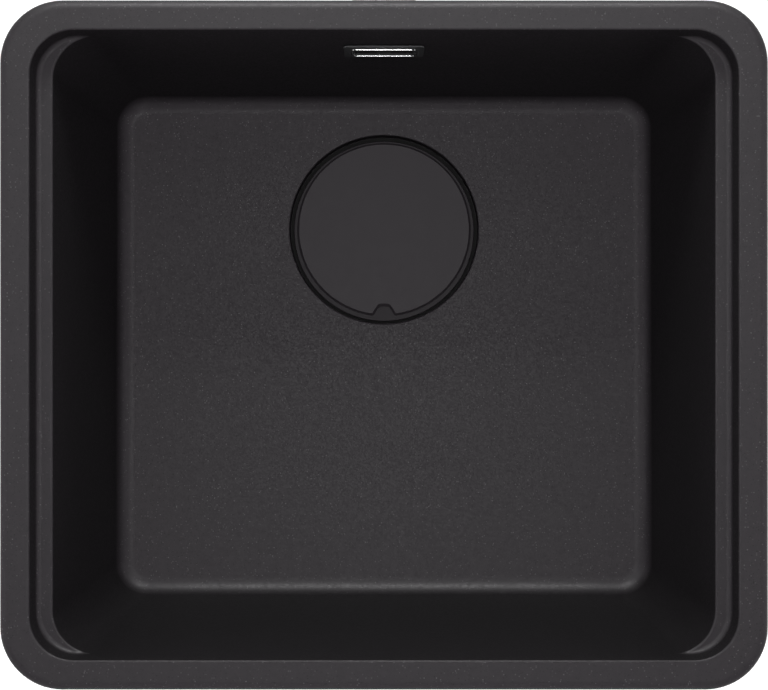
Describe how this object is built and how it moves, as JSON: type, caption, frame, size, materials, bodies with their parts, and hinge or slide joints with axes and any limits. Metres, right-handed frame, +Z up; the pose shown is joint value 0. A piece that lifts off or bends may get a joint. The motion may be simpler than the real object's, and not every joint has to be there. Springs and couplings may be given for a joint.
{
  "type": "granite sink",
  "caption": "Single-bowl drop-in sink in dark speckled granite composite with side ledges, lidded basket strainer waste, overflow and worktop clamps.",
  "frame": {"origin": "centre of the rim's top face", "axes": "+X to the right along the long side, +Y to the back where the overflow is, +Z up out of the bowl"},
  "size_m": [0.49, 0.4591, 0.303],
  "materials": {
    "granite_composite": "matte, fine pale speckle",
    "lid_coating": "matte anthracite coating",
    "flange_coating": "satin anthracite coating",
    "plate_coating": "matte black coating",
    "bezel_chrome": "polished chrome plating",
    "basket_steel": "brushed stainless steel",
    "clamp_steel": "zinc plated steel strip",
    "screw_steel": "zinc plated steel screw",
    "insert_brass": "turned brass",
    "waste_plastic": "moulded black polypropylene",
    "nut_plastic": "moulded black polypropylene",
    "knob_plastic": "moulded black plastic",
    "hose_plastic": "blow moulded grey polypropylene",
    "seal_rubber": "soft black rubber"
  },
  "bodies": {
    "sink": {"basin": "granite_composite", "waste_flange": "flange_coating", "overflow_plate": "plate_coating", "overflow_bezel": "bezel_chrome", "waste_bolt": "screw_steel", "overflow_screw": "screw_steel", "bolt_insert": "insert_brass", "clamp_inserts": "insert_brass", "waste_body": "waste_plastic", "waste_tail": "waste_plastic", "overflow_elbow": "waste_plastic", "hose_nut_top": "nut_plastic", "hose_nut_bottom": "nut_plastic", "overflow_hose": "hose_plastic", "flange_seal": "seal_rubber", "body_seal": "seal_rubber", "overflow_seal": "seal_rubber", "hose_seals": "seal_rubber"},
    "basket": {"strainer_basket": "basket_steel", "basket_bush": "nut_plastic"},
    "plug": {"plug_stem": "basket_steel", "plug_retainer": "basket_steel", "plug_knob": "knob_plastic", "plug_seal": "seal_rubber"},
    "cover": {"drain_cover": "lid_coating", "cover_pads": "seal_rubber"},
    "screw_left_front": {"clamp_screw_left_front": "screw_steel"},
    "arm_left_front": {"clamp_arm_left_front": "clamp_steel"},
    "screw_left_middle": {"clamp_screw_left_middle": "screw_steel"},
    "arm_left_middle": {"clamp_arm_left_middle": "clamp_steel"},
    "screw_left_back": {"clamp_screw_left_back": "screw_steel"},
    "arm_left_back": {"clamp_arm_left_back": "clamp_steel"},
    "screw_right_front": {"clamp_screw_right_front": "screw_steel"},
    "arm_right_front": {"clamp_arm_right_front": "clamp_steel"},
    "screw_right_middle": {"clamp_screw_right_middle": "screw_steel"},
    "arm_right_middle": {"clamp_arm_right_middle": "clamp_steel"},
    "screw_right_back": {"clamp_screw_right_back": "screw_steel"},
    "arm_right_back": {"clamp_arm_right_back": "clamp_steel"}
  },
  "joints": [
    {"name": "basket_lift", "type": "slide", "parent": "sink", "child": "basket", "axis": [0, 0, 1], "range_m": [0, 0.24]},
    {"name": "cover_lift", "type": "slide", "parent": "basket", "child": "cover", "axis": [0, 0, 1], "range_m": [0, 0.24]},
    {"name": "plug_slide", "type": "slide", "parent": "basket", "child": "plug", "axis": [0, 0, 1], "range_m": [-0.006, 0]},
    {"name": "screw_left_front_drive", "type": "slide", "parent": "sink", "child": "screw_left_front", "axis": [0, 0, 1], "range_m": [0, 0.016]},
    {"name": "arm_left_front_swing", "type": "hinge", "parent": "screw_left_front", "child": "arm_left_front", "pos_m": [-0.228, -0.12, -0.07], "axis": [0, 0, 1], "range_deg": [0, 90]},
    {"name": "screw_left_middle_drive", "type": "slide", "parent": "sink", "child": "screw_left_middle", "axis": [0, 0, 1], "range_m": [0, 0.016]},
    {"name": "arm_left_middle_swing", "type": "hinge", "parent": "screw_left_middle", "child": "arm_left_middle", "pos_m": [-0.228, 0, -0.07], "axis": [0, 0, 1], "range_deg": [0, 90]},
    {"name": "screw_left_back_drive", "type": "slide", "parent": "sink", "child": "screw_left_back", "axis": [0, 0, 1], "range_m": [0, 0.016]},
    {"name": "arm_left_back_swing", "type": "hinge", "parent": "screw_left_back", "child": "arm_left_back", "pos_m": [-0.228, 0.12, -0.07], "axis": [0, 0, 1], "range_deg": [0, 90]},
    {"name": "screw_right_front_drive", "type": "slide", "parent": "sink", "child": "screw_right_front", "axis": [0, 0, 1], "range_m": [0, 0.016]},
    {"name": "arm_right_front_swing", "type": "hinge", "parent": "screw_right_front", "child": "arm_right_front", "pos_m": [0.228, -0.12, -0.07], "axis": [0, 0, -1], "range_deg": [0, 90]},
    {"name": "screw_right_middle_drive", "type": "slide", "parent": "sink", "child": "screw_right_middle", "axis": [0, 0, 1], "range_m": [0, 0.016]},
    {"name": "arm_right_middle_swing", "type": "hinge", "parent": "screw_right_middle", "child": "arm_right_middle", "pos_m": [0.228, 0, -0.07], "axis": [0, 0, -1], "range_deg": [0, 90]},
    {"name": "screw_right_back_drive", "type": "slide", "parent": "sink", "child": "screw_right_back", "axis": [0, 0, 1], "range_m": [0, 0.016]},
    {"name": "arm_right_back_swing", "type": "hinge", "parent": "screw_right_back", "child": "arm_right_back", "pos_m": [0.228, 0.12, -0.07], "axis": [0, 0, -1], "range_deg": [0, 90]}
  ]
}
